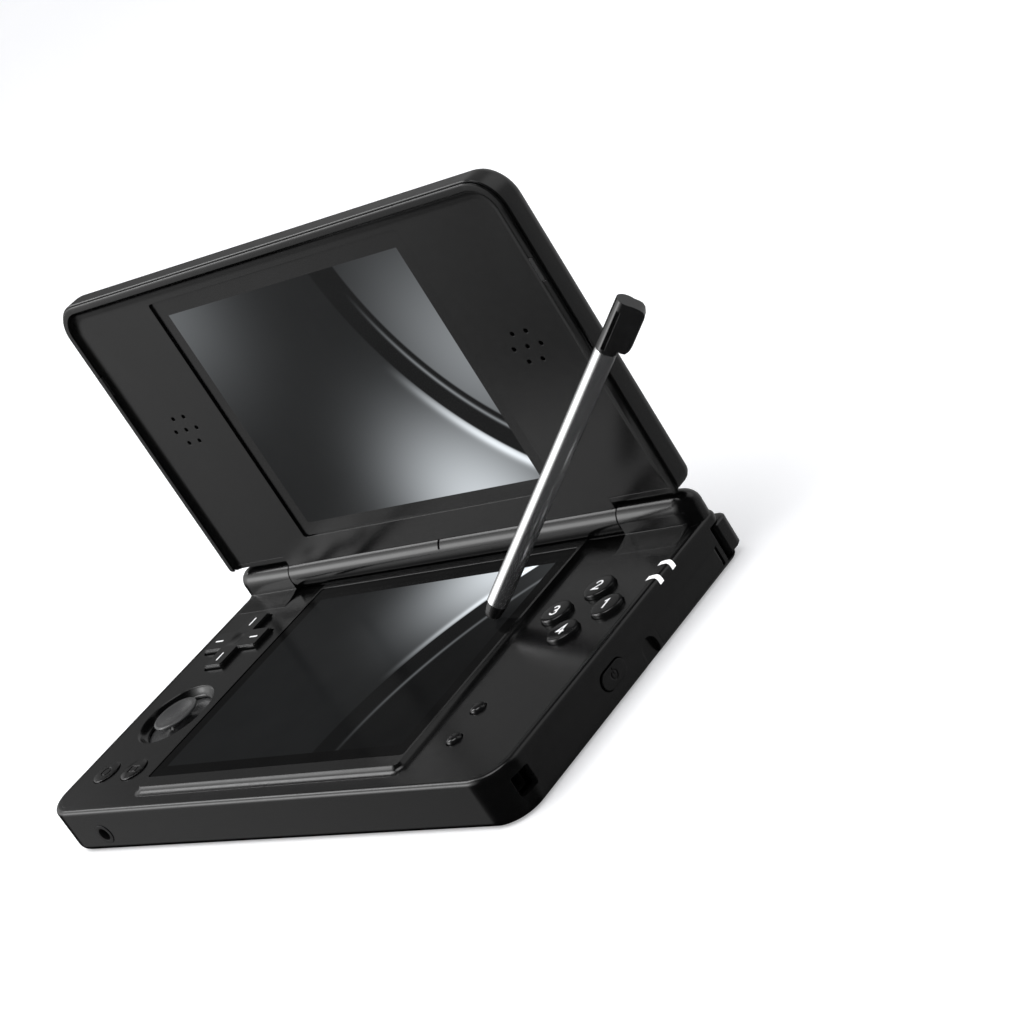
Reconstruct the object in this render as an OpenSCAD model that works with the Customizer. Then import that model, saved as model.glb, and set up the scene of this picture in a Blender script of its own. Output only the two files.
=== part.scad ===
// Clamshell handheld game console with two displays and a stylus.
// X to the user's right, Y from the user towards the hinge, Z up.
// Origin: middle of the underside, on the surface it rests on. Shown with the lid at a right angle to the base.
// Inside the modules Y counts from the front face; centred() moves each sub-part to the origin.

/* [Body] */
// Width of the console
body_w = 161; // [158:0.5:166]
// Depth of the base, front face to rear face
body_d = 91.5; // [91:0.1:92.5]
// Height of the base at the control areas
base_t = 12.6; // [12.4:0.1:13]
// Height of the parting line of the base
split_z = 6.3; // [6.2:0.05:6.4]
// Plan radius of the front corners
corner_r = 8.5; // [7.5:0.25:9.5]
// Fillet along the upper edge of the base
top_fillet = 1.15; // [1:0.15:1.6]
// Fillet along the lower edge of the base
bottom_fillet = 2.3; // [1.5:0.1:2.6]

/* [Lid] */
// Height of the closed console
closed_t = 20.4; // [20.2:0.1:21]
// Fillet round the back of the lid
lid_fillet = 3; // [2:0.25:3.5]
// Distance of the lid's rear edge from the front face when closed
lid_d = 82.6; // [82:0.1:82.7]

/* [Hinge] */
// Hinge axis, distance from the front face
hinge_y = 87.7; // [87.6:0.05:87.8]
// Hinge axis, height
hinge_z = 16.2; // [16.1:0.05:16.3]
// Radius of the hinge barrel and the ears
barrel_r = 3.9; // [3.7:0.05:3.95]
// Half length of the barrel that turns with the lid
barrel_hl = 58.5; // [57:0.5:58.5]
// Radius of the hinge pins
pin_r = 1.6; // [1.4:0.1:1.8]
// Running clearance of the pins in the barrel, radial
pin_clear = 0.05; // [0.02:0.01:0.1]

/* [Displays] */
// Width of the picture area, 4:3
active_w = 84; // [82:0.5:85.5]
// Half width of the display windows
window_hw = 45.5; // [45:0.1:45.8]
// Top of the raised platform round the touch screen
platform_z = 13.85; // [13.6:0.05:13.9]

/* [Controls] */
// Radius of the four face buttons
face_r = 3.9; // [3.5:0.1:4.1]
// Distance of each face button from the middle of the four
face_pitch = 7.7; // [7.3:0.1:8]
// Half length of the cross pad's arms
cross_hl = 10.6; // [10:0.1:10.8]
// Half width of the cross pad's arms
cross_hw = 3.6; // [3.2:0.1:3.8]
// Radius of the circle pad's cap
pad_r = 6.15; // [5.8:0.05:6.4]

/* [Stylus] */
// Length of the stylus
stylus_l = 84.6; // [82:0.2:86]
// Radius of the stylus shaft
stylus_r = 2.45; // [2.3:0.05:2.45]

/* [Hidden] */
hw = body_w/2;
eps = 0.02;
face_c = [64.2, 56.8];
cross_c = [-64.9, 64.3];
pad_c = [-62.8, 36];
round_1 = [-69, 14.6];
round_2 = [-57.8, 14.7];
round_r = 3.75;
dot_1 = [56.1, 25.1];
dot_2 = [56.8, 15];
screw_p = [[-75.5, 13.2], [75.5, 13.2]];
seam_y = 85.9;
seam_f = 4.5;
// mouth of the stylus silo, low and high corner in Y and Z
silo = [[4.45, 4.35], [9.45, 9.35]];
spk_c = [[-62.05, 40.6], [62.05, 40.6]];
panel_z = 14.2;
glass_y = [9.9, 81.3];
uglass_y = [6.3, 76.9];
tip_p = [37.33, 56.14, 14.82];
// direction of the stylus from its tip
sty_el = 39.2;
sty_az = 26.2;

// ---------- shapes ----------
function top_arc(f, z, n=5) = f <= 0 ? [[0, z]] : [for (i=[0:n]) let(a=90*i/n) [f*(1-cos(a)), z-f+f*sin(a)]];
function bot_arc(f, z, n=5) = f <= 0 ? [[0, z]] : [for (i=[0:n]) let(a=90*i/n) [f*(1-sin(a)), z+f*(1-cos(a))]];

// a plate with rounded plan corners; pts lists [inset, z] from bottom to top
module slab(xl, xr, y0, y1, rf, rr, pts) {
  n = len(pts); za = pts[0][1]; zb = pts[n-1][1];
  module sector(r) rotate_extrude(angle=90, $fn=64) polygon(concat([[0,za]], [for (p=pts) [r-p[0], p[1]]], [[0,zb]]));
  translate([xl+rf, y0+rf, 0]) rotate([0,0,180]) sector(rf);
  translate([xr-rf, y0+rf, 0]) rotate([0,0,270]) sector(rf);
  translate([xl+rr, y1-rr, 0]) rotate([0,0,90]) sector(rr);
  translate([xr-rr, y1-rr, 0]) sector(rr);
  // front and rear strips
  translate([xl+rf,0,0]) rotate([90,0,90]) linear_extrude(xr-xl-2*rf) polygon(concat([[y0+rf,za]], [for (p=pts) [y0+p[0], p[1]]], [[y0+rf,zb]]));
  translate([xl+rr,0,0]) rotate([90,0,90]) linear_extrude(xr-xl-2*rr) polygon(concat([[y1-rr,za]], [for (p=pts) [y1-p[0], p[1]]], [[y1-rr,zb]]));
  // side strips
  translate([0,y1-rr,0]) rotate([90,0,0]) linear_extrude(y1-rr-y0-rf) polygon(concat([[xl+rf,za]], [for (p=pts) [xl+p[0], p[1]]], [[xl+rf,zb]]));
  translate([0,y1-rr,0]) rotate([90,0,0]) linear_extrude(y1-rr-y0-rf) polygon(concat([[xr-rf,za]], [for (p=pts) [xr-p[0], p[1]]], [[xr-rf,zb]]));
  translate([xl+rf, y0+rf, za]) cube([xr-xl-2*rf, y1-rr-y0-rf, zb-za]);
}
// straight-sided rounded plate
module plate(x0, x1, y0, y1, z0, z1, r) {
  translate([0,0,z0]) linear_extrude(z1-z0) {
    translate([x0+r, y0]) square([x1-x0-2*r, y1-y0]);
    translate([x0, y0+r]) square([x1-x0, y1-y0-2*r]);
    for (x=[x0+r, x1-r], y=[y0+r, y1-r]) translate([x,y]) circle(r, $fn=32);
  }
}
module box(x0,x1,y0,y1,z0,z1) translate([x0,y0,z0]) cube([x1-x0,y1-y0,z1-z0]);
// cylinder along X, and along Y
module xcyl(x0,x1,y,z,r,f=48) translate([x0,y,z]) rotate([0,90,0]) cylinder(h=x1-x0, r=r, $fn=f);
module ycyl(y0,y1,x,z,r,f=48) translate([x,y0,z]) rotate([-90,0,0]) cylinder(h=y1-y0, r=r, $fn=f);
module zcyl(z0,z1,p,r,f=48) translate([p[0],p[1],z0]) cylinder(h=z1-z0, r=r, $fn=f);
// rounded slot shape that runs along Y on a side wall, seen along X
module xslot(x0,x1,yc,zc,l,h) { xcyl(x0,x1,yc-(l-h)/2,zc,h/2); xcyl(x0,x1,yc+(l-h)/2,zc,h/2); box(x0,x1,yc-(l-h)/2,yc+(l-h)/2,zc-h/2,zc+h/2); }
// rounded square channel for the stylus
module channel(x0,x1,g) {
  r = 0.6; a = silo[0]; b = silo[1];
  box(x0,x1,a[0]-g+r,b[0]+g-r,a[1]-g,b[1]+g); box(x0,x1,a[0]-g,b[0]+g,a[1]-g+r,b[1]+g-r);
  for (y=[a[0]-g+r,b[0]+g-r], z=[a[1]-g+r,b[1]+g-r]) xcyl(x0,x1,y,z,r,24);
}
// solid of revolution about a vertical line; pts are [radius, z]
module turned(p, pts, f=64) translate([p[0],p[1],0]) rotate_extrude($fn=f) polygon(pts);

module centred() translate([0,-body_d/2,0]) children();

// ---------- base ----------
module cross2d(hl, hwid, r) {
  module bar(a,b) { translate([-a+r,-b]) square([2*a-2*r,2*b]); translate([-a,-b+r]) square([2*a,2*b-2*r]); for (x=[-a+r,a-r], y=[-b+r,b-r]) translate([x,y]) circle(r,$fn=24); }
  bar(hl,hwid); bar(hwid,hl);
}
module ear(s) {
  // turned ear with a rounded outer end
  rx = 3.2; ra = 4.6; n = 8; xe = 80.1;
  function nose(g) = [for (i=[0:n]) let(a=90*i/n) [barrel_r-rx+rx*cos(a)-g*cos(a), xe-ra+ra*sin(a)-g*sin(a)]];
  translate([0,hinge_y,hinge_z]) rotate([0,s*90,0]) rotate_extrude($fn=64)
    polygon(concat([[0,58.8],[barrel_r,58.8]], nose(0), [[0,xe]]));
  // neck below it, rounded the same way
  mirror([s > 0 ? 0 : 1,0,0]) translate([0,0,base_t-1.6]) linear_extrude(hinge_z-base_t+1.6)
    polygon(concat([[58.8,hinge_y+barrel_r-0.03]], [for (p=nose(0.03)) [p[1], hinge_y+p[0]]], [for (i=[n:-1:0]) let(p=nose(0.03)[i]) [p[1], hinge_y-p[0]]], [[58.8,hinge_y-barrel_r+0.03]]));
  // low fairing in front of it
  x1 = s > 0 ? 58.8 : -77.6;
  translate([x1,0,0]) rotate([90,0,90]) linear_extrude(18.8) polygon([[77.6,base_t-0.3],[77.6,base_t+0.02],[80.4,base_t+0.22],[82.6,base_t+0.68],[84.6,base_t+1.35],[86,base_t+1.35],[86,base_t-0.3]]);
}
module base_top_shell() color("#2b2b2c") centred() difference() {
  union() {
    difference() {
      slab(-hw, hw, 0, body_d, corner_r, 3, concat([[0,split_z]], top_arc(top_fillet, base_t)));
      slab(-hw+1.8, hw-1.8, 1.8, body_d-1.8, corner_r-1.8, 2.2, [[0,split_z-1],[0,base_t-1.4]]);
    }
    // front strip down to the underside
    difference() {
      slab(-hw, hw, 0, body_d, corner_r, 3, concat(bot_arc(bottom_fillet, 0), [[0,split_z+0.02]]));
      box(-hw-1, hw+1, seam_f-0.06, body_d+1, -1, split_z+1);
      slab(-hw+1.8, hw-1.8, 1.8, body_d+5, corner_r-1.8, 2.2, [[0,1.6],[0,split_z+1]]);
    }
    // rear strip down to the underside
    difference() {
      slab(-hw, hw, 76, body_d, 3, 3, concat(bot_arc(bottom_fillet, 0), [[0,split_z+0.5]]));
      box(-hw-1, hw+1, 75, seam_y+0.1, -1, split_z+1);
      box(-hw+1.8, hw-1.8, seam_y-1, body_d-1.8, 1.6, split_z+1);
    }
    // raised platform round the touch screen
    slab(-48.6, 48.6, 4.2, 88, 3.6, 3, [[0,base_t-0.5],[0,base_t+0.02],[0.55,base_t+0.1],[1.15,base_t+0.32],[1.6,base_t+0.66],[1.92,platform_z-0.14],[2.05,platform_z]]);
    ear(1); ear(-1);
    // floor of the circle pad's well
    difference() {
      zcyl(10.2, base_t-0.1, pad_c, 12.6, 64);
      zcyl(10, 12, [pad_c[0]+0,pad_c[1]], 8.8, 64);
    }
    // bosses for the cover screws
    for (p=screw_p) zcyl(3, base_t-1.2, p, 2.2, 32);
    // housings of the hinge pins' ends and the rear corners
    for (s=[-1,1]) box(s>0?59.2:-78.9, s>0?78.9:-59.2, 82, 87.2, 10.4, base_t-0.5);
  }
  // trough under the barrel
  xcyl(-58.7, 58.7, hinge_y, hinge_z, barrel_r+0.3, 64);
  box(-58.7, 58.7, hinge_y-1, 93, hinge_z-1, 20);
  // fine crease along the right and left of the top, round the front corners
  for (s=[-1,1]) {
    box(s*(hw-1.9)-0.06, s*(hw-1.9)+0.06, corner_r+0.1, 77, base_t-0.1, base_t+0.3);
    translate([s*(hw-corner_r), corner_r, base_t-0.1]) rotate([0,0,s>0?-84:178]) rotate_extrude(angle=86, $fn=96) translate([corner_r-1.96,0]) square([0.12,0.4]);
  }
  // pin bores in the ears
  xcyl(-66, -58, hinge_y, hinge_z, pin_r);
  xcyl(58, 66, hinge_y, hinge_z, pin_r);
  // display window and ledge
  plate(-window_hw-0.55, window_hw+0.15, glass_y[0]-0.15, glass_y[1]+0.2, 12.7, 15, 0.8);
  box(-43.9, 43.9, 11.2, 79, 9, 13);
  // control openings
  translate([cross_c[0],cross_c[1],9]) linear_extrude(5) cross2d(cross_hl+0.55, cross_hw+0.55, 1.3);
  for (i=[0:3]) zcyl(9, 14, [face_c[0]+face_pitch*cos(90*i), face_c[1]+face_pitch*sin(90*i)], face_r+0.18);
  zcyl(9, 14, dot_1, 2.1, 32); zcyl(9, 14, dot_2, 2.1, 32);
  zcyl(9, 14, round_1, round_r+0.18); zcyl(9, 14, round_2, round_r+0.18);
  // dished well of the circle pad
  turned(pad_c, [[0,9],[9.3,9],[9.3,10.75],[9.55,10.85],[9.9,11.15],[10.2,11.55],[10.45,11.95],[10.65,12.25],[10.85,12.48],[11.05,base_t+0.01],[11.05,14],[0,14]]);
  // cover screw threads
  for (p=screw_p) zcyl(2, 8.2, p, 1.0, 32);
  // side openings: power button, rocker, silo, jack
  xslot(hw-4, hw+1, 40.9, 6.35, 9.0, 4.7);
  xslot(-hw-1, -hw+4, 44, 6.35, 16.3, 4.7);
  channel(40, 82, 0);
  channel(40, 76.2, 0.45);
  ycyl(-1, 3, -61, 5.5, 2.75);
  // light windows over the right edge
  light_shape(0.02);
  // rear: shoulder button pockets, sockets
  for (s=[-1,1]) { box(s>0?58.6:-82, s>0?82:-58.6, 86.9, 93, 1.2, 10.2); box(s>0?57:-80, s>0?80:-57, 86.2, 88, 1.2, 9.8); box(s>0?77:-82, s>0?82:-77, 86.2, 88, 1.2, 10.2); }
  for (s=[-1,1]) zcyl(0.9, 10.9, [s*61.4, 89.5], 0.8, 32);
  box(-17.4, 17.4, 84, 93, 2.0, 6.6);
  box(41.9, 50.1, 84, 93, 3.1, 7.5);
}
module bottom_cover() color("#2b2b2c") centred() difference() {
  union() {
    difference() {
      slab(-hw, hw, 0, body_d, corner_r, 3, concat(bot_arc(bottom_fillet, 0), [[0,split_z-0.08]]));
      slab(-hw+1.8, hw-1.8, 1.8, body_d+5, corner_r-1.8, 2.2, [[0,1.6],[0,split_z+1]]);
    }
    for (p=screw_p) zcyl(1, 2.9, p, 3.4, 32);
  }
  box(-hw-1, hw+1, seam_y, body_d+6, -1, split_z+1);
  box(-hw-1, hw+1, -1, seam_f, -1, split_z+1);
  for (p=screw_p) { zcyl(-1, 1.0, p, 2.3, 32); zcyl(-1, 5, p, 1.1, 32); zcyl(-1, 2.1, p, 2.0, 32);}
  // finger scoop for the card door
  xcyl(hw-1.35, hw+1, 53.5, 3.0, 2.7);
  box(hw-1.35, hw+1, 50.8, 56.2, -1, 3.0);
  // card door and the slot behind it
  box(hw-1.55, hw+1, 57.3, 85.0, 1.5, 7);
  zcyl(1.5, 7, [hw-0.76, 84.1], 0.8, 32);
  box(hw-4, hw, 60, 82, 2.3, 5.1);
  xslot(hw-4, hw+1, 40.9, 6.35, 9.0, 4.7);
  xslot(-hw-1, -hw+4, 44, 6.35, 16.3, 4.7);
  channel(40, 82, 0);
  channel(40, 76.2, 0.45);
  ycyl(-1, 3, -61, 5.5, 2.75);
}
module cover_screws() color("#8a8a8c") centred() for (p=screw_p) difference() {
  union() { zcyl(1.0, 2.05, p, 1.95, 32); zcyl(1.0, 8.0, p, 1.0, 32); }
  for (a=[0,90]) translate([p[0],p[1],0.9]) rotate([0,0,a]) translate([-1.2,-0.25,0]) cube([2.4,0.5,0.6]);
}
module battery() color("#3a3d42") centred() plate(-26, 26, 16, 52, 1.62, 6.1, 1.5);
module main_board() color("#1f5a3a") centred() difference() {
  plate(-72, 72, 11.4, 84.6, 6.9, 7.9, 1);
  for (p=screw_p) zcyl(6, 9, p, 2.6, 32);
}
module key_membrane() color("#55585c") centred() {
  for (i=[0:3]) turned([face_c[0]+face_pitch*cos(90*i), face_c[1]+face_pitch*sin(90*i)], [[0,7.92],[3.4,7.92],[2.2,8.25],[0,8.25]], 32);
  for (a=[0:3]) turned([cross_c[0]+7.4*cos(90*a), cross_c[1]+7.4*sin(90*a)], [[0,7.92],[2.4,7.92],[1.6,8.2],[0,8.2]], 32);
  for (p=[round_1,round_2]) turned(p, [[0,7.92],[3,7.92],[2,8.25],[0,8.25]], 32);
  for (p=[dot_1,dot_2]) turned(p, [[0,7.92],[1.8,7.92],[1.2,8.25],[0,8.25]], 32);
}
module lower_display() color("#17191c") centred() { plate(-43.7, 43.7, 11.4, 78.8, 10.2, 12.65, 0.4); }
module touch_glass() color("#0d0e10") centred() plate(-window_hw, window_hw, glass_y[0], glass_y[1], 12.7, 13.78, 0.7);

// cross pad on its pivot
module cross_pad() color("#1d1d1e") centred() {
  difference() {
    union() {
      translate([cross_c[0],cross_c[1],10.2]) linear_extrude(3.2) cross2d(cross_hl, cross_hw, 0.8);
      translate([cross_c[0],cross_c[1],13.39]) linear_extrude(0.31) cross2d(cross_hl-0.3, cross_hw-0.3, 0.7);
      zcyl(9.25, 10.25, cross_c, 9.6, 48);
    }
    // dished middle
    translate([cross_c[0],cross_c[1],13.7+11.7]) sphere(12, $fn=64);
    translate([cross_c[0],cross_c[1],9.5]) sphere(1.56, $fn=48);
    zcyl(9, 9.5, cross_c, 1.9, 32);
  }
}
module cross_pivot() color("#6a6c70") centred() { translate([cross_c[0],cross_c[1],9.5]) sphere(1.5, $fn=48); zcyl(8.02, 8.9, cross_c, 1.1, 32); }

module face_button(i) turned([face_c[0]+face_pitch*cos(90*i), face_c[1]+face_pitch*sin(90*i)],
  [[0,9.35],[4.6,9.35],[4.6,10.25],[face_r,10.25],[face_r,13.35],[face_r-0.08,13.55],[face_r-0.28,13.7],[face_r-0.6,13.76],[2.0,13.82],[0,13.85]]);
module button_1() color("#1d1d1e") centred() face_button(0);
module button_2() color("#1d1d1e") centred() face_button(1);
module button_3() color("#1d1d1e") centred() face_button(2);
module button_4() color("#1d1d1e") centred() face_button(3);
module dot_button(p) turned(p, [[0,9.4],[2.8,9.4],[2.8,10.2],[1.9,10.2],[1.9,12.7],[1.8,13.02],[1.5,13.32],[0.95,13.5],[0,13.58]], 40);
module start_button() color("#1d1d1e") centred() dot_button(dot_1);
module select_button() color("#1d1d1e") centred() dot_button(dot_2);
module round_button(p) turned(p, [[0,9.4],[4.15,9.4],[4.15,10.2],[round_r,10.2],[round_r,12.75],[round_r-0.1,12.9],[round_r-0.35,13.0],[0,13.0]]);
module round_button_left() color("#262627") centred() difference() {
  round_button(round_1);
  // engraved circle with a gap and a stroke
  difference() { zcyl(12.8, 13.2, round_1, 1.6, 32); zcyl(12.7, 13.3, round_1, 1.2, 32); }
}
module round_button_right() color("#262627") centred() difference() {
  round_button(round_2);
  translate([round_2[0],round_2[1],12.8]) difference() { translate([-1.6,-1.2,0]) cube([3.2,2.4,1]); translate([-1.2,-0.8,-1]) cube([2.4,1.6,3]); }
}
// circle pad: carriage moves left and right, cap moves with it and fore and aft
module pad_carriage() color("#6a6c70") centred() difference() { box(pad_c[0]-6, pad_c[0]+6, pad_c[1]-8, pad_c[1]+8, 8.1, 9.0); box(pad_c[0]-1.6, pad_c[0]+1.6, pad_c[1]-4, pad_c[1]+4, 8, 9.1); }
module circle_pad() color("#1d1d1e") centred() {
  turned(pad_c, [[0,9.15],[12.1,9.15],[12.1,9.75],[5.0,9.85],[3.3,10.2],[2.75,10.8],[2.9,11.35],[4.2,11.75],[pad_r-0.35,12.3],[pad_r-0.05,12.5],[pad_r,12.72],[pad_r-0.12,12.95],[pad_r-0.45,13.1],[pad_r-0.95,13.1],[3.7,12.8],[1.9,12.55],[0,12.46]]);
}
// side controls
module power_button() color("#262627") centred() difference() {
  union() { xslot(hw-1.9, hw+0.4, 40.9, 6.35, 8.4, 4.1); xslot(hw-2.9, hw-1.85, 40.9, 6.35, 10.4, 6.0); }
  // engraved circle
  difference() { xcyl(hw+0.25, hw+1, 40.9, 6.35, 1.15, 32); xcyl(hw, hw+1.1, 40.9, 6.35, 0.8, 32); }
  box(hw+0.25, hw+1, 40.75, 41.05, 6.5, 8.0);
}
module volume_rocker() color("#262627") centred() difference() {
  union() { xslot(-hw-0.35, -hw+1.6, 44, 6.35, 15.7, 4.1); xslot(-hw+1.9+0.35, -hw+3.2, 44, 6.35, 16.8, 5.4); xslot(-hw+1.5, -hw+2.4, 44, 6.35, 12, 3.6); }
  for (y=[38.6, 49.4]) box(-hw-1, -hw-0.2, y-0.9, y+0.9, 6.2, 6.5);
  box(-hw-1, -hw-0.2, 49.25, 49.55, 5.45, 7.25);
  box(-hw-1, -hw-0.2, 43.9, 44.1, 5.2, 7.5);
  zcyl(3, 10, [-77.4, 44], 0.7, 24);
}
module rocker_pin() color("#8a8a8c") centred() zcyl(3.4, 9.3, [-77.4, 44], 0.66, 24);
// shoulder button at a rear corner; s is the side
module shoulder(s) {
  module body() difference() {
    union() {
      // wrap-round cap with a rounded outer corner
      slab(60, hw-0.1, 87.9, 93.8, 1.0, 2.6, [[0.5,1.7],[0,2.2],[0,9.2],[0.25,9.5],[0.8,9.75]]);
      // hub on the pin
      zcyl(2.2, 9.2, [61.4, 89.5], 1.6, 32);
    }
    zcyl(0, 12, [61.4, 89.5], 0.85, 32);
  }
  if (s > 0) body(); else mirror([1,0,0]) body();
}
module shoulder_right() color("#242425") centred() shoulder(1);
module shoulder_left() color("#242425") centred() shoulder(-1);
module shoulder_pins() color("#8a8a8c") centred() for (s=[-1,1]) zcyl(0.9, 10.9, [s*61.4, 89.5], 0.8, 32);
// two crescents that wrap over the right edge, grown by g
module light_shape(g) for (y=[66.4, 71.6]) {
  // seen from above: a band bowed towards the hinge
  translate([0,0,11.0-g]) linear_extrude(4) intersection() {
    difference() { translate([78.9,y-3.2]) circle(4.0+g,$fn=64); translate([78.9,y-3.85]) circle(3.3-g,$fn=64); }
    translate([77.1-g,y-1.5-g]) square([6,4]);
  }
}
module light_windows() color("white") centred() intersection() {
  slab(-hw, hw, 0, body_d, corner_r, 3, concat([[0,split_z]], top_arc(top_fillet, base_t)));
  light_shape(0);
}
module headphone_jack() color("#111112") centred() difference() { union() { ycyl(-0.15, 11.2, -61, 5.5, 2.7); } ycyl(-1, 11, -61, 5.5, 1.75); }
module charge_socket() color("#55585c") centred() difference() { box(42, 50, 85, 90.6, 3.2, 7.4); box(42.6, 49.4, 86, 93, 3.8, 6.8); box(44.4,47.6,85.5,90.9,5.0,5.6); }
module card_socket() color("#2f3236") centred() difference() { box(-18.6, 18.6, 56.5, 89.6, 1.65, 6.75); box(-17.2, 17.2, 58, 95, 2.2, 6.4); }
module memory_socket() color("#8c8f93") centred() difference() { box(54, 76.4, 59.2, 82.8, 1.8, 5.9); box(55, 80, 60, 82, 2.3, 5.1); }
module card_door() color("#242425") centred() {
  difference() {
    slab(-hw, hw, 0, body_d, corner_r, 3, concat(bot_arc(bottom_fillet, 0), [[0,split_z-0.1]]));
    box(-hw-1, hw-1.45, -1, body_d+1, -1, 8);
    box(0, hw+1, -1, 57.4, -1, 8);
    box(0, hw+1, 84.1, body_d+1, -1, 8);
    box(0, hw+1, -1, body_d+1, -1, 1.6);
  }
  zcyl(2.6, split_z-0.1, [hw-0.76, 84.1], 0.7, 32);
}
module silo_liner() color("#161617") centred() difference() {
  channel(-4, 76.1, 0.4);
  channel(-3.4, 80, 0);
}
module hinge_pin_left() color("#a9abae") centred() xcyl(-66, -52, hinge_y, hinge_z, pin_r);
module hinge_pin_right() color("#a9abae") centred() xcyl(52, 66, hinge_y, hinge_z, pin_r);

// ---------- stylus, its tip on the touch screen ----------
module on_stylus() translate(tip_p) rotate([0,0,sty_az]) rotate([0,90-sty_el,0]) children();
module stylus_tip() color("#1a1a1b") centred() on_stylus() rotate_extrude($fn=48) polygon([[0,0],[1.0,0.1],[1.55,0.45],[1.85,1.1],[2.02,2.0],[stylus_r-0.1,4.2],[1.3,4.2],[1.3,8],[0,8]]);
module stylus_shaft() color("#c9ccd0") centred() on_stylus() difference() {
  translate([0,0,4.22]) cylinder(h=stylus_l-16.64, r=stylus_r, $fn=64);
  translate([0,0,4]) cylinder(h=4.2, r=1.35, $fn=32);
  translate([0,0,stylus_l-18.6]) cylinder(h=8, r=1.35, $fn=32);
}
module stylus_cap() color("#1a1a1b") centred() on_stylus() {
  translate([0,0,stylus_l-18.4]) cylinder(h=7, r=1.3, $fn=32);
  difference() {
    union() {
      translate([0,0,stylus_l-12.4]) cylinder(h=12.4, r=stylus_r, $fn=48);
      // hooked block on one side
      rotate([90,0,0]) translate([0,0,-2.15]) linear_extrude(4.3) polygon([[0,stylus_l-10.9],[3.9,stylus_l-10.9],[4.5,stylus_l-10.2],[4.75,stylus_l-9.2],[4.75,stylus_l-2.6],[4.55,stylus_l-1.4],[4.0,stylus_l-0.5],[3.2,stylus_l-0.1],[2.4,stylus_l],[0,stylus_l]]);
    }
    // rounded far side
    translate([0,0,stylus_l-13]) difference() { translate([2.6,-3,0]) cube([3,6,14]); translate([2.6,0,-1]) cylinder(h=16, r=2.15, $fn=48); }
    // groove along the front
    translate([-1.25,-3,stylus_l-11.6]) cube([0.8,1.4,9.4]);
  }
}

// ---------- lid, modelled closed and then opened to a right angle ----------
module opened() translate([0,hinge_y,hinge_z]) rotate([-90,0,0]) translate([0,-hinge_y,-hinge_z]) children();
// recess inside the lip of the lid, open at the hinge side
module lid_recess() slab(-hw+2.1, hw-2.1, 2.1, lid_d+6, corner_r-2.1, 3, [[-0.05,12.5],[0,12.8],[0.12,13.1],[0.45,13.5],[1.1,13.9],[2.0,14.12],[2.8,panel_z]]);
// pockets of the pads in the lip
module pad_pockets() for (s=[-1,1]) box(s>0?hw-2.45:-hw+1.05, s>0?hw-1.05:-hw+2.45, 20.4, 26.2, 12.4, 13.9);
module lid_outer_shell() color("#2b2b2c") centred() opened() difference() {
  slab(-hw, hw, 0, lid_d, corner_r, lid_fillet+0.2, concat([[0.15,13.4],[0,13.6]], top_arc(lid_fillet, closed_t)));
  slab(-hw+1.5, hw-1.5, 1.5, lid_d-1.2, corner_r-1.5, 1, [[0,13],[0,closed_t-lid_fillet],[0.9,closed_t-1.4]]);
  lid_recess();
  // notch for the panel's lower edge, pockets of the pads
  box(-barrel_hl+0.07, barrel_hl-0.07, lid_d-1.4, lid_d+1, 12.5, 15.28);
  pad_pockets();
}
module lid_inner_panel() color("#2b2b2c") centred() opened() difference() {
  union() {
    slab(-hw+0.45, hw-0.45, 0.45, lid_d-0.05, corner_r-0.45, 1, [[0.45,12.8],[0.12,12.9],[0,13.05],[0,13.2]]);
    slab(-hw+1.6, hw-1.6, 1.6, lid_d-1.3, corner_r-1.6, 0.9, [[0,13.1],[0,15.9]]);
    // lower edge, down to the hinge barrel
    translate([-barrel_hl+0.1,0,0]) rotate([90,0,90]) linear_extrude(2*barrel_hl-0.2) polygon([[lid_d-1.5,14.0],[84.27,14.0],[84.27,panel_z],[84.01,14.75],[83.84,15.25],[lid_d-1.5,15.25]]);
  }
  lid_recess();
  // window
  plate(-window_hw-0.4, window_hw+0.12, uglass_y[0]-0.12, uglass_y[1]+0.12, 12, 17, 0.8);
  // speaker holes
  for (c=spk_c) { zcyl(12, 17, c, 0.6, 24); for (i=[0:5]) zcyl(12, 17, [c[0]+4.25*cos(60*i), c[1]+4.25*sin(60*i)], 0.6, 24); }
  pad_pockets();
}
module hinge_barrel() color("#2b2b2c") centred() opened() difference() {
  union() {
    xcyl(-barrel_hl, barrel_hl, hinge_y, hinge_z, barrel_r, 64);
    // web to the lid
    translate([-barrel_hl,0,0]) rotate([90,0,90]) linear_extrude(2*barrel_hl) polygon([[lid_d,15.3],[hinge_y-2.6,15.3],[hinge_y-1,hinge_z],[hinge_y-1.2,hinge_z+3.7],[hinge_y-3,closed_t-0.3],[lid_d+0.6,closed_t-0.1],[lid_d,closed_t-0.1]]);
  }
  xcyl(-60, -51.5, hinge_y, hinge_z, pin_r+pin_clear);
  xcyl(51.5, 60, hinge_y, hinge_z, pin_r+pin_clear);
  // microphone slot
  box(-1.3, -0.7, hinge_y-4.2, hinge_y-1.6, hinge_z-4.2, hinge_z-1.0);
}
module microphone() color("#0a0a0a") centred() opened() box(-1.28, -0.72, hinge_y-2.7, hinge_y-1.62, hinge_z-2.4, hinge_z-1.02);
module upper_display() color("#17191c") centred() opened() plate(-47, 47, 5.4, 78, 15.95, 18.4, 0.5);
module upper_window() color("#0d0e10") centred() opened() plate(-window_hw, window_hw, uglass_y[0], uglass_y[1], 14.8, 15.9, 0.7);
module speakers() color("#3a3d42") centred() opened() for (c=spk_c) difference() { zcyl(15.95, 18.6, c, 8, 48); zcyl(15.9, 16.6, c, 6.2, 48); }
module lid_pads() color("#111112") centred() opened() for (s=[-1,1]) box(s>0?hw-2.3:-hw+1.2, s>0?hw-1.2:-hw+2.3, 20.55, 26.05, 12.7, 13.88);

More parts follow.
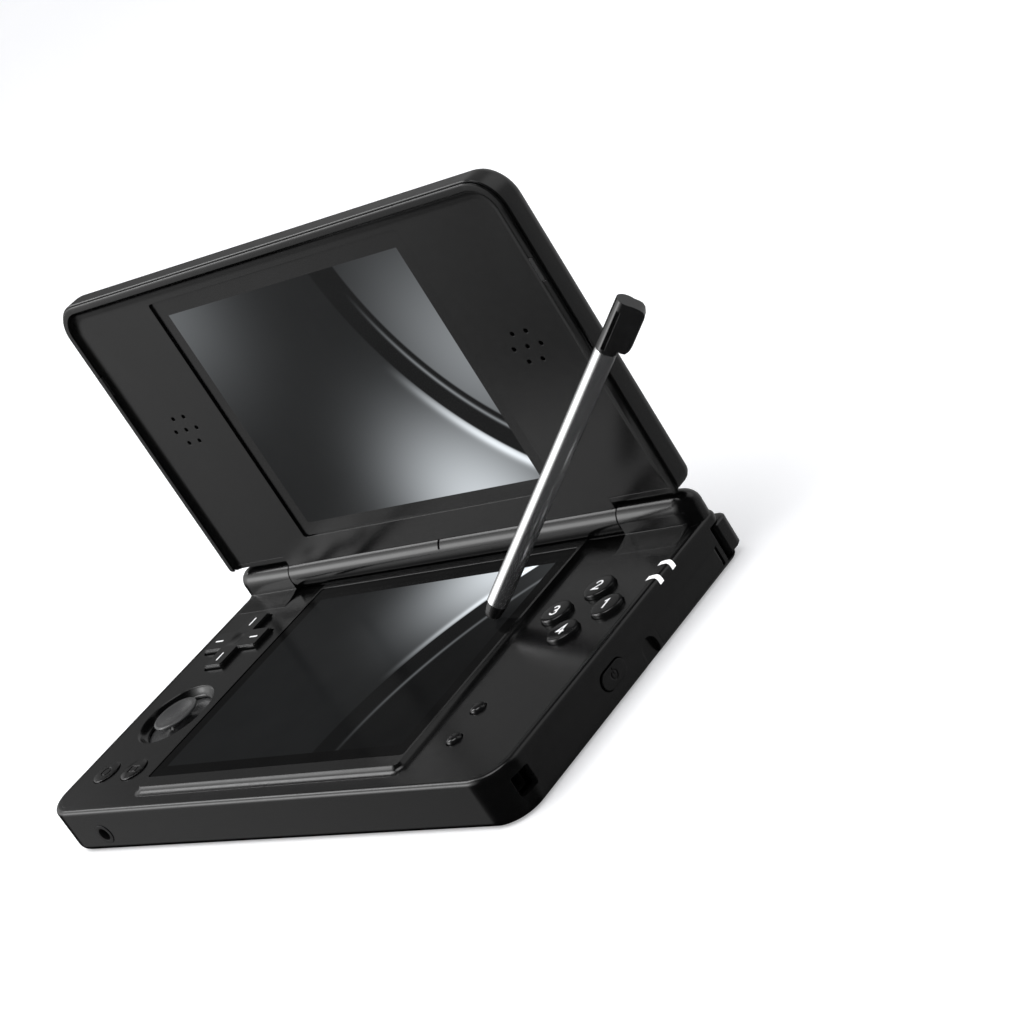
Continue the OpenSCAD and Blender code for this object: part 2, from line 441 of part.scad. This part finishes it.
base_top_shell();
bottom_cover();
cover_screws();
battery();
main_board();
key_membrane();
lower_display();
touch_glass();
cross_pad();
cross_pivot();
button_1();
button_2();
button_3();
button_4();
start_button();
select_button();
pad_carriage();
circle_pad();
round_button_left();
round_button_right();
power_button();
volume_rocker();
shoulder_left();
shoulder_right();
shoulder_pins();
rocker_pin();
light_windows();
headphone_jack();
charge_socket();
card_socket();
memory_socket();
card_door();
silo_liner();
hinge_pin_left();
hinge_pin_right();
stylus_tip();
stylus_shaft();
stylus_cap();
lid_outer_shell();
lid_inner_panel();
hinge_barrel();
upper_display();
upper_window();
speakers();
lid_pads();
microphone();
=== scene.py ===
# Looks of the clamshell handheld game console. Lengths in metres, the frame's axes.
import bpy, bmesh, math
from mathutils import Vector, Matrix


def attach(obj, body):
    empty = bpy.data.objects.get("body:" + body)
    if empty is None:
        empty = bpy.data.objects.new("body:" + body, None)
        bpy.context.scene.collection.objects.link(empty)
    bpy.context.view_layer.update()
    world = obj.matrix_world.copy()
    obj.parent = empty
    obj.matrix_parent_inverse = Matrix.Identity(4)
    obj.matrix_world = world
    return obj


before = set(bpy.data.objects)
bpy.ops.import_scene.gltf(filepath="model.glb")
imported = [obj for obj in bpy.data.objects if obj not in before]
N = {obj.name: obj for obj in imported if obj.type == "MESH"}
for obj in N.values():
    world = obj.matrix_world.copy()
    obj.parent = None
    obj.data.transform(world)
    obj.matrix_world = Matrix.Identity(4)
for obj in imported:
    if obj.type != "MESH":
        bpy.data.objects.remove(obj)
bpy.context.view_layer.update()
scene = bpy.context.scene
MM = 0.001
YO = -45.75


def P(x, y, z):
    """A place given in mm, y counted from the front face."""
    return Vector((x * MM, (y + YO) * MM, z * MM))


# the lid's own place: closed coordinates turned open by a right angle about the hinge
HY, HZ = 87.7, 16.2


def L(x, y, z):
    return P(x, z - HZ + HY, HZ + HY - y)


# ------------------------------------------------------------------ camera
cam_d = bpy.data.cameras.new("camera")
cam = bpy.data.objects.new("camera", cam_d)
scene.collection.objects.link(cam)
cam_d.sensor_fit = "HORIZONTAL"
cam_d.sensor_width = 36.0
cam_d.lens = 2670.29 / 1024 * 36.0
cam_d.clip_start, cam_d.clip_end = 0.01, 20
right = Vector((0.68155, 0.52865, -0.50598)).normalized()
back = Vector((0.72131, -0.60183, 0.34281)).normalized()
up = back.cross(right).normalized()
right = up.cross(back).normalized()
cam.matrix_world = Matrix(((right.x, up.x, back.x, 0.47119), (right.y, up.y, back.y, -0.33021), (right.z, up.z, back.z, 0.23432), (0, 0, 0, 1)))
scene.camera = cam

# ------------------------------------------------------------------ light
scene.view_settings.view_transform = "Standard"
scene.view_settings.look = "None"
scene.view_settings.exposure = 0.0
world = bpy.data.worlds.new("studio")
scene.world = world
world.use_nodes = True
wt = world.node_tree
wt.nodes.clear()


def wnode(kind, **kw):
    n = wt.nodes.new("ShaderNode" + kind)
    for k, v in kw.items():
        setattr(n, k, v)
    return n


def wmath(op, a, b=0.0, clamp=False):
    n = wnode("Math", operation=op, use_clamp=clamp)
    for k, v in enumerate((a, b)):
        if isinstance(v, bpy.types.NodeSocket):
            wt.links.new(v, n.inputs[k])
        else:
            n.inputs[k].default_value = v
    return n.outputs[0]


w_tc = wnode("TexCoord")
w_dir = w_tc.outputs["Generated"]


def lobe(direction, lo, hi, strength):
    """A soft patch of light round a direction: none where the cosine is under lo, full over hi."""
    d = Vector(direction).normalized()
    n = wnode("VectorMath", operation="DOT_PRODUCT")
    wt.links.new(w_dir, n.inputs[0])
    n.inputs[1].default_value = d
    m = wnode("MapRange", interpolation_type="SMOOTHSTEP")
    m.inputs["From Min"].default_value = lo
    m.inputs["From Max"].default_value = hi
    m.inputs["To Min"].default_value = 0.0
    m.inputs["To Max"].default_value = strength
    wt.links.new(n.outputs["Value"], m.inputs["Value"])
    return m.outputs[0]


LOBES = [
    ((-0.74, -0.60, 0.32), 0.970, 0.998, 3.9),   # soft box, its middle
    ((-0.74, -0.60, 0.32), 0.90, 0.985, 1.2),    # soft box, its rim
    ((-0.74, -0.60, 0.32), 0.77, 0.94, 1.1),     # the wall it lights round itself
    ((-0.70, -0.50, 0.52), 0.95, 0.99, 0.2),     # soft box, its top
    ((-0.82, -0.42, -0.40), 0.955, 0.995, 0.42),  # low reflector, left
    ((-0.68, -0.68, -0.28), 0.96, 0.995, 0.07),   # low reflector, right
    ((-0.76, 0.52, 0.38), 0.94, 0.99, 0.17),     # wall behind on the left
    ((-0.72, -0.01, 0.69), 0.970, 0.990, 5.5),   # strip light over the hinge
    ((-0.17, 0.00, 0.98), 0.945, 0.985, 4),    # overhead soft box
    ((0.35, 0.60, 0.72), 0.88, 0.98, 0.6),       # pale wall behind on the right
    ((-0.96, 0.02, 0.25), 0.88, 0.975, 0.9),     # tall soft box, left
    ((0.10, 0.99, 0.10), 0.35, 0.95, 0.6),      # pale wall behind
]
total = 0.003
for d, lo, hi, k in LOBES:
    total = wmath("ADD", lobe(d, lo, hi, k), total)
w_lp = wnode("LightPath")
w_gl = wnode("Background")
wt.links.new(total, w_gl.inputs["Strength"])
w_df = wnode("Background")
w_df.inputs["Color"].default_value = (0.95, 0.96, 1.0, 1)
w_df.inputs["Strength"].default_value = 0.75
w_cm = wnode("Background")
w_cm.inputs["Color"].default_value = (1, 1, 1, 1)
w_cm.inputs["Strength"].default_value = 1.0
mix1, mix2 = wnode("MixShader"), wnode("MixShader")
wt.links.new(w_lp.outputs["Is Glossy Ray"], mix1.inputs[0])
wt.links.new(w_df.outputs[0], mix1.inputs[1])
wt.links.new(w_gl.outputs[0], mix1.inputs[2])
wt.links.new(w_lp.outputs["Is Camera Ray"], mix2.inputs[0])
wt.links.new(mix1.outputs[0], mix2.inputs[1])
wt.links.new(w_cm.outputs[0], mix2.inputs[2])
w_out = wnode("OutputWorld")
wt.links.new(mix2.outputs[0], w_out.inputs["Surface"])


def area(name, at, target, size, power, colour=(1, 1, 1)):
    d = bpy.data.lights.new(name, "AREA")
    d.shape = "RECTANGLE"
    d.size, d.size_y = size
    d.energy = power
    d.color = colour
    o = bpy.data.objects.new(name, d)
    scene.collection.objects.link(o)
    o.location = Vector(at)
    o.rotation_euler = (Vector(target) - Vector(at)).to_track_quat("-Z", "Y").to_euler()
    return o


key = area("key", (-0.25, -0.35, 0.95), (0, 0, 0), (0.9, 0.8), 7.0)
for o in (key,):
    o.visible_glossy = False

# ------------------------------------------------------------------ material kit


class Mat:
    """A small helper to write node materials."""

    def __init__(self, name):
        self.m = bpy.data.materials.new(name)
        self.m.use_nodes = True
        self.t = self.m.node_tree
        self.t.nodes.clear()
        self.out = self.t.nodes.new("ShaderNodeOutputMaterial")
        self.b = self.t.nodes.new("ShaderNodeBsdfPrincipled")
        self.t.links.new(self.b.outputs[0], self.out.inputs[0])
        self.tc = self.t.nodes.new("ShaderNodeTexCoord")

    def n(self, kind, **inputs):
        node = self.t.nodes.new("ShaderNode" + kind)
        for k, v in inputs.items():
            if k in ("operation", "blend_type", "data_type", "interpolation_type", "noise_dimensions", "feature", "distance", "invert"):
                setattr(node, k, v)
            else:
                self.put(node.inputs[k.replace("_", " ")], v)
        return node

    def put(self, socket, v):
        if isinstance(v, bpy.types.NodeSocket):
            self.t.links.new(v, socket)
        else:
            socket.default_value = v

    def noise(self, scale, detail=3, rough=0.55):
        k = self.n("TexNoise", Vector=self.tc.outputs["Object"], Scale=scale, Detail=detail, Roughness=rough)
        return k.outputs["Fac"]

    def math(self, op, a, b=0.0, clamp=False):
        k = self.t.nodes.new("ShaderNodeMath")
        k.operation = op
        k.use_clamp = clamp
        self.put(k.inputs[0], a)
        self.put(k.inputs[1], b)
        return k.outputs[0]

    def ramp(self, fac, stops):
        k = self.t.nodes.new("ShaderNodeValToRGB")
        els = k.color_ramp.elements
        while len(els) > 1:
            els.remove(els[-1])
        els[0].position, els[0].color = stops[0]
        for pos, col in stops[1:]:
            e = els.new(pos)
            e.color = col
        self.put(k.inputs[0], fac)
        return k.outputs[0]

    def mapr(self, v, a, b, c, d):
        return self.n("MapRange", Value=v, From_Min=a, From_Max=b, To_Min=c, To_Max=d).outputs[0]

    def mixc(self, fac, a, b):
        k = self.t.nodes.new("ShaderNodeMix")
        k.data_type = "RGBA"
        self.put(k.inputs[0], fac)
        self.put(k.inputs[6], a)
        self.put(k.inputs[7], b)
        return k.outputs[2]

    def bump(self, height, dist, strength=1.0, normal=None):
        k = self.t.nodes.new("ShaderNodeBump")
        k.inputs["Strength"].default_value = strength
        k.inputs["Distance"].default_value = dist
        self.put(k.inputs["Height"], height)
        if normal is not None:
            self.t.links.new(normal, k.inputs["Normal"])
        return k.outputs[0]

    def edge_wear(self, lo=0.52, hi=0.62):
        g = self.t.nodes.new("ShaderNodeNewGeometry")
        return self.mapr(g.outputs["Pointiness"], lo, hi, 0.0, 1.0)

    def round_edges(self, radius):
        k = self.t.nodes.new("ShaderNodeBevel")
        k.samples = 6
        k.inputs["Radius"].default_value = radius
        return k.outputs[0]

    def place(self, at=(0, 0, 0)):
        """Object coordinates in mm, counted from a place given in metres."""
        v = self.t.nodes.new("ShaderNodeVectorMath")
        v.operation = "SUBTRACT"
        self.t.links.new(self.tc.outputs["Object"], v.inputs[0])
        v.inputs[1].default_value = at
        w = self.t.nodes.new("ShaderNodeVectorMath")
        w.operation = "SCALE"
        self.t.links.new(v.outputs[0], w.inputs[0])
        w.inputs["Scale"].default_value = 1000.0
        x = self.t.nodes.new("ShaderNodeSeparateXYZ")
        self.t.links.new(w.outputs[0], x.inputs[0])
        return x.outputs[0], x.outputs[1], x.outputs[2]

    def step(self, v, lo, hi):
        return self.n("MapRange", interpolation_type="SMOOTHSTEP", Value=v, From_Min=lo, From_Max=hi, To_Min=0.0, To_Max=1.0).outputs[0]

    def dist(self, x, y, cx, cy, kx=1.0, ky=1.0):
        a = self.math("MULTIPLY", self.math("SUBTRACT", x, cx), kx)
        b = self.math("MULTIPLY", self.math("SUBTRACT", y, cy), ky)
        return self.math("SQRT", self.math("ADD", self.math("MULTIPLY", a, a), self.math("MULTIPLY", b, b)))

    def bell(self, v, width, height):
        q = self.math("DIVIDE", v, width)
        e = self.math("EXPONENT", self.math("MULTIPLY", self.math("MULTIPLY", q, q), -1.0))
        return self.math("MULTIPLY", e, height)

    def total(self, *vs):
        r = vs[0]
        for v in vs[1:]:
            r = self.math("ADD", r, v)
        return r


def g(v, a=1.0):
    return (v, v, v, a)


def plastic(name, base, rough, grain=0.00004, grain_scale=5200, coat=0.0, spec=0.5, wear=0.35, tint=(1, 1, 1), edge=0.00018):
    """Moulded plastic: fine grain, faint mottling, slightly polished edges."""
    m = Mat(name)
    big = m.noise(60, 4)
    fine = m.noise(grain_scale, 2, 0.6)
    mid = m.noise(420, 3)
    c0 = tuple(base * k for k in tint) + (1,)
    c1 = tuple(base * 1.3 * k for k in tint) + (1,)
    col = m.ramp(big, [(0.3, c0), (0.75, c1)])
    w = m.math("MULTIPLY", m.edge_wear(), m.mapr(mid, 0.35, 0.7, 0.2, 1.0))
    w = m.math("MULTIPLY", w, wear, True)
    lit = tuple(min(1, base * 2.2 + 0.003) * k for k in tint) + (1,)
    col = m.mixc(w, col, lit)
    m.put(m.b.inputs["Base Color"], col)
    r = m.mapr(mid, 0.3, 0.7, rough - 0.03, rough + 0.04)
    r = m.math("SUBTRACT", r, m.math("MULTIPLY", w, 0.15), True)
    m.put(m.b.inputs["Roughness"], r)
    m.b.inputs["Specular IOR Level"].default_value = spec
    if coat:
        m.b.inputs["Coat Weight"].default_value = coat
        m.b.inputs["Coat Roughness"].default_value = 0.12
    m.put(m.b.inputs["Normal"], m.bump(fine, grain, 0.5, m.round_edges(edge)))
    return m.m


mat_shell = plastic("shell", 0.002, 0.21, grain=0.000012)
mat_control = plastic("control", 0.006, 0.15, grain=0.000004)
mat_trim = plastic("trim", 0.002, 0.22, grain=0.000008)
mat_pad = plastic("pad", 0.05, 0.2, grain=0.000008)
mat_inner = plastic("inner", 0.05, 0.5)
mat_socket = plastic("socket", 0.004, 0.4)
mat_rubber = plastic("rubber", 0.012, 0.6, grain=0.00006)
mat_board = plastic("board", 0.05, 0.45, tint=(0.3, 1.0, 0.55))
mat_display = plastic("display", 0.01, 0.3)


def metal(name, base, rough, edge=0.0001):
    m = Mat(name)
    s = m.noise(900, 3)
    m.put(m.b.inputs["Base Color"], m.ramp(m.noise(80, 2), [(0.3, g(base * 0.93)), (0.7, g(base))]))
    m.b.inputs["Metallic"].default_value = 0.95
    m.put(m.b.inputs["Roughness"], m.mapr(s, 0.3, 0.7, rough * 0.92, rough * 1.1))
    m.put(m.b.inputs["Normal"], m.bump(s, 0.0000015, 0.3, m.round_edges(edge)))
    return m.m


mat_steel = metal("steel", 0.62, 0.28)
mat_stylus = metal("stylus_metal", 0.86, 0.21)


def white(name, glow):
    """Printed or moulded white, faintly uneven, with an emission of its own; on the printed marks that emission
    is painted glow.
    """
    m = Mat(name)
    m.put(m.b.inputs["Base Color"], m.ramp(m.noise(700, 3), [(0.3, g(0.78)), (0.7, g(0.86))]))
    m.put(m.b.inputs["Roughness"], m.mapr(m.noise(500, 2), 0.3, 0.7, 0.35, 0.5))
    m.b.inputs["Emission Color"].default_value = (1, 1, 1, 1)
    m.b.inputs["Emission Strength"].default_value = glow
    return m.m


# the printed marks get painted glow: an emission that makes the print brighter than the lamps light it
mat_print = white("white_print", 0.35)
mat_light = white("light_window", 0.6)


def window(name, at, flat_axis, field, rough, spec, spec_in, half=(42.0, 31.5)):
    """Dark glass; inside the picture area it shows a picture made by field(m, across, along)."""
    m = Mat(name)
    x, y, z = m.place(at)
    v = z if flat_axis == "y" else y
    inside = m.math("MULTIPLY", m.math("LESS_THAN", m.math("ABSOLUTE", x), half[0]), m.math("LESS_THAN", m.math("ABSOLUTE", v), half[1]))
    light = m.math("MULTIPLY", field(m, x, v), inside)
    m.put(m.b.inputs["Base Color"], m.ramp(m.noise(90, 2), [(0.3, g(0.0035)), (0.7, g(0.005))]))
    smear = m.noise(70, 4)
    m.put(m.b.inputs["Roughness"], m.mapr(smear, 0.35, 0.7, rough, rough + 0.05))
    # the picture area has a duller film than the bezel
    m.put(m.b.inputs["Specular IOR Level"], m.math("ADD", m.math("MULTIPLY", inside, spec_in - spec), spec))
    m.put(m.b.inputs["Normal"], m.bump(m.noise(2600, 2), 0.000004, 0.25, m.round_edges(0.00015)))
    m.b.inputs["Emission Color"].default_value = (0.90, 0.955, 1.0, 1)
    m.put(m.b.inputs["Emission Strength"], light)
    return m.m


def upper_field(m, x, z):
    s = m.math("SUBTRACT", 84.0, m.dist(x, z, 95.0, 40.0))
    left = m.total(0.006, m.bell(m.dist(x, z, 20, -37), 22, 0.66), m.bell(m.dist(x, z, -47, 35), 23, 0.125))
    right_ = m.total(0.012, m.bell(m.dist(x, z, 48, 2), 24, 0.24))
    ml = m.step(s, 0.35, -0.35)
    mr = m.step(s, 8.2, 9.0)
    line = m.math("MULTIPLY", m.bell(m.math("ADD", s, 1.3), 1.4, 0.75), m.math("MULTIPLY", m.step(z, 6, -24), ml))
    thin = m.math("MULTIPLY", m.bell(m.math("SUBTRACT", s, 6.3), 0.5, 0.22), m.step(z, 26, -4))
    return m.total(m.math("MULTIPLY", left, ml), m.math("MULTIPLY", right_, mr), 0.0035, line, thin)


def lower_field(m, x, y):
    s = m.math("SUBTRACT", 100.0, m.dist(x, y, 112.0, -34.0))
    left = m.total(0.006, m.bell(m.dist(x, y, 27, 37, 0.9, 1.0), 20, 0.85))
    ml = m.step(s, 0.3, -0.3)
    line = m.math("MULTIPLY", m.bell(m.math("ADD", s, 1.2), 1.2, 0.6), m.math("MULTIPLY", m.step(y, -8, 26), ml))
    thin = m.math("MULTIPLY", m.bell(m.math("SUBTRACT", s, 8.4), 0.6, 0.11), m.step(y, -40, 0))
    band = m.bell(m.dist(x, y, 44, 34), 16, 0.03)
    return m.total(m.math("MULTIPLY", left, ml), line, thin, band, 0.003)


mat_upper = window("upper_glass", tuple(P(0, 0, 62)), "y", upper_field, 0.22, 0.45, 0.09)
mat_lower = window("lower_glass", tuple(P(0, 44.95, 0)), "z", lower_field, 0.14, 0.016, 0.010)

MATS = {}
for names, m in (
    (("cross_pad", "button_1", "button_2", "button_3", "button_4", "start_button", "select_button", "stylus_tip", "stylus_cap"), mat_control),
    (("circle_pad",), mat_pad),
    (("round_button_left", "round_button_right", "power_button", "volume_rocker", "shoulder_left", "shoulder_right", "card_door"), mat_trim),
    (("cover_screws", "hinge_pin_left", "hinge_pin_right", "shoulder_pins", "rocker_pin", "charge_socket", "memory_socket"), mat_steel),
    (("stylus_shaft",), mat_stylus),
    (("headphone_jack", "card_socket", "silo_liner", "microphone"), mat_socket),
    (("lid_pads", "key_membrane"), mat_rubber),
    (("battery", "cross_pivot", "pad_carriage", "speakers"), mat_inner),
    (("main_board",), mat_board),
    (("upper_display", "lower_display"), mat_display),
    (("upper_window",), mat_upper),
    (("touch_glass",), mat_lower),
    (("light_windows",), mat_light),
):
    for nm in names:
        MATS[nm] = m
for name, o in N.items():
    o.data.materials.clear()
    o.data.materials.append(MATS.get(name, mat_shell))


def smooth(o, angle=33, weld=0.000002):
    me = o.data
    for nm in ("custom_normal",):
        if nm in me.attributes:
            me.attributes.remove(me.attributes[nm])
    me.polygons.foreach_set("use_smooth", [True] * len(me.polygons))
    w = o.modifiers.new("weld", "WELD")
    w.merge_threshold = weld
    s = o.modifiers.new("split", "EDGE_SPLIT")
    s.split_angle = math.radians(angle)
    n = o.modifiers.new("normals", "WEIGHTED_NORMAL")
    n.keep_sharp = True
    n.weight = 100


for o in N.values():
    smooth(o)

# the pictures light up nothing that is glossy
for nm in ("upper_window", "touch_glass"):
    N[nm].visible_glossy = False

# ------------------------------------------------------------------ printed marks
def strokes(name, lines, half, z0, z1, material, place=P):
    """Flat printed strokes with round ends: each line is a list of (x, y) in mm."""
    bm = bmesh.new()

    def prism(ring):
        low = [bm.verts.new(place(x, y, z0)) for x, y in ring]
        high = [bm.verts.new(place(x, y, z1)) for x, y in ring]
        n = len(ring)
        bm.faces.new(high)
        bm.faces.new(low[::-1])
        for i in range(n):
            bm.faces.new((low[i], low[(i + 1) % n], high[(i + 1) % n], high[i]))

    for line in lines:
        # one closed outline round the whole line
        n = len(line)
        left, right_ = [], []
        for i in range(n):
            p = Vector(line[i])
            d0 = (p - Vector(line[i - 1])).normalized() if i > 0 else None
            d1 = (Vector(line[i + 1]) - p).normalized() if i < n - 1 else None
            d = ((d0 or d1) + (d1 or d0)).normalized()
            nrm = Vector((-d.y, d.x))
            k = half / max(0.4, nrm.dot(Vector((-(d1 or d0).y, (d1 or d0).x))))
            left.append(p + nrm * k)
            right_.append(p - nrm * k)
        def cap(p, d, side):
            r = []
            for j in range(1, 8):
                t = math.pi * j / 8
                r.append(p + side * half * math.cos(t) + d * half * math.sin(t))
            return r
        d_end = (Vector(line[-1]) - Vector(line[-2])).normalized()
        d_start = (Vector(line[0]) - Vector(line[1])).normalized()
        ring = right_ + cap(Vector(line[-1]), d_end, Vector((d_end.y, -d_end.x)))
        ring += left[::-1] + cap(Vector(line[0]), d_start, Vector((d_start.y, -d_start.x)))
        prism([tuple(v) for v in ring])
    me = bpy.data.meshes.new(name)
    bmesh.ops.recalc_face_normals(bm, faces=bm.faces[:])
    bm.to_mesh(me)
    bm.free()
    o = bpy.data.objects.new(name, me)
    scene.collection.objects.link(o)
    me.materials.append(material)
    return o


def curve_pts(cx, cy, rx, ry, a0, a1, n=14):
    return [(cx + rx * math.cos(math.radians(a0 + (a1 - a0) * i / n)), cy + ry * math.sin(math.radians(a0 + (a1 - a0) * i / n))) for i in range(n + 1)]


FACE = (64.2, 56.8)
PITCH = 7.7
DIGITS = {
    1: [[(-0.55, 0.95), (0.15, 1.45), (0.15, -1.45)]],
    2: [curve_pts(0.0, 0.62, 0.82, 0.83, 165, -25, 14) + [(-0.85, -1.42), (0.9, -1.42)]],
    3: [curve_pts(-0.05, 0.72, 0.78, 0.73, 150, -80, 12) + curve_pts(-0.05, -0.68, 0.88, 0.77, 80, -150, 12)],
    4: [[(0.42, -1.45), (0.42, 1.45), (-0.95, -0.6), (0.98, -0.6)]],
}
for i in range(4):
    cx = FACE[0] + PITCH * math.cos(math.radians(90 * i))
    cy = FACE[1] + PITCH * math.sin(math.radians(90 * i))
    k = i + 1
    o = strokes("numeral_%d" % k, [[(cx + x, cy + y) for x, y in ln] for ln in DIGITS[k]], 0.21, 13.74, 13.87, mat_print)
    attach(o, "key_%d" % k)
CROSS = (-64.9, 64.3)
bars = []
for dx, dy in ((1, 0), (0, 1), (-1, 0), (0, -1)):
    bars.append([(CROSS[0] + dx * (7.0 - 1.3), CROSS[1] + dy * (7.0 - 1.3)), (CROSS[0] + dx * (7.0 + 1.3), CROSS[1] + dy * (7.0 + 1.3))])
o = strokes("cross_bars", bars, 0.27, 13.6, 13.73, mat_print)
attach(o, "cross")

# ------------------------------------------------------------------ floor
bm = bmesh.new()
bmesh.ops.create_grid(bm, x_segments=2, y_segments=2, size=3.0)
me = bpy.data.meshes.new("floor")
bm.to_mesh(me)
bm.free()
floor = bpy.data.objects.new("floor", me)
scene.collection.objects.link(floor)
floor.location = (0, 0, -0.00001)
fm = Mat("floor")
fm.put(fm.b.inputs["Base Color"], fm.ramp(fm.noise(3, 2), [(0.3, g(0.88)), (0.7, g(0.9))]))
fm.b.inputs["Roughness"].default_value = 0.6
fm.b.inputs["Emission Color"].default_value = (1, 1, 1, 1)
fm.b.inputs["Emission Strength"].default_value = 0.32
floor.data.materials.append(fm.m)
floor.visible_glossy = False
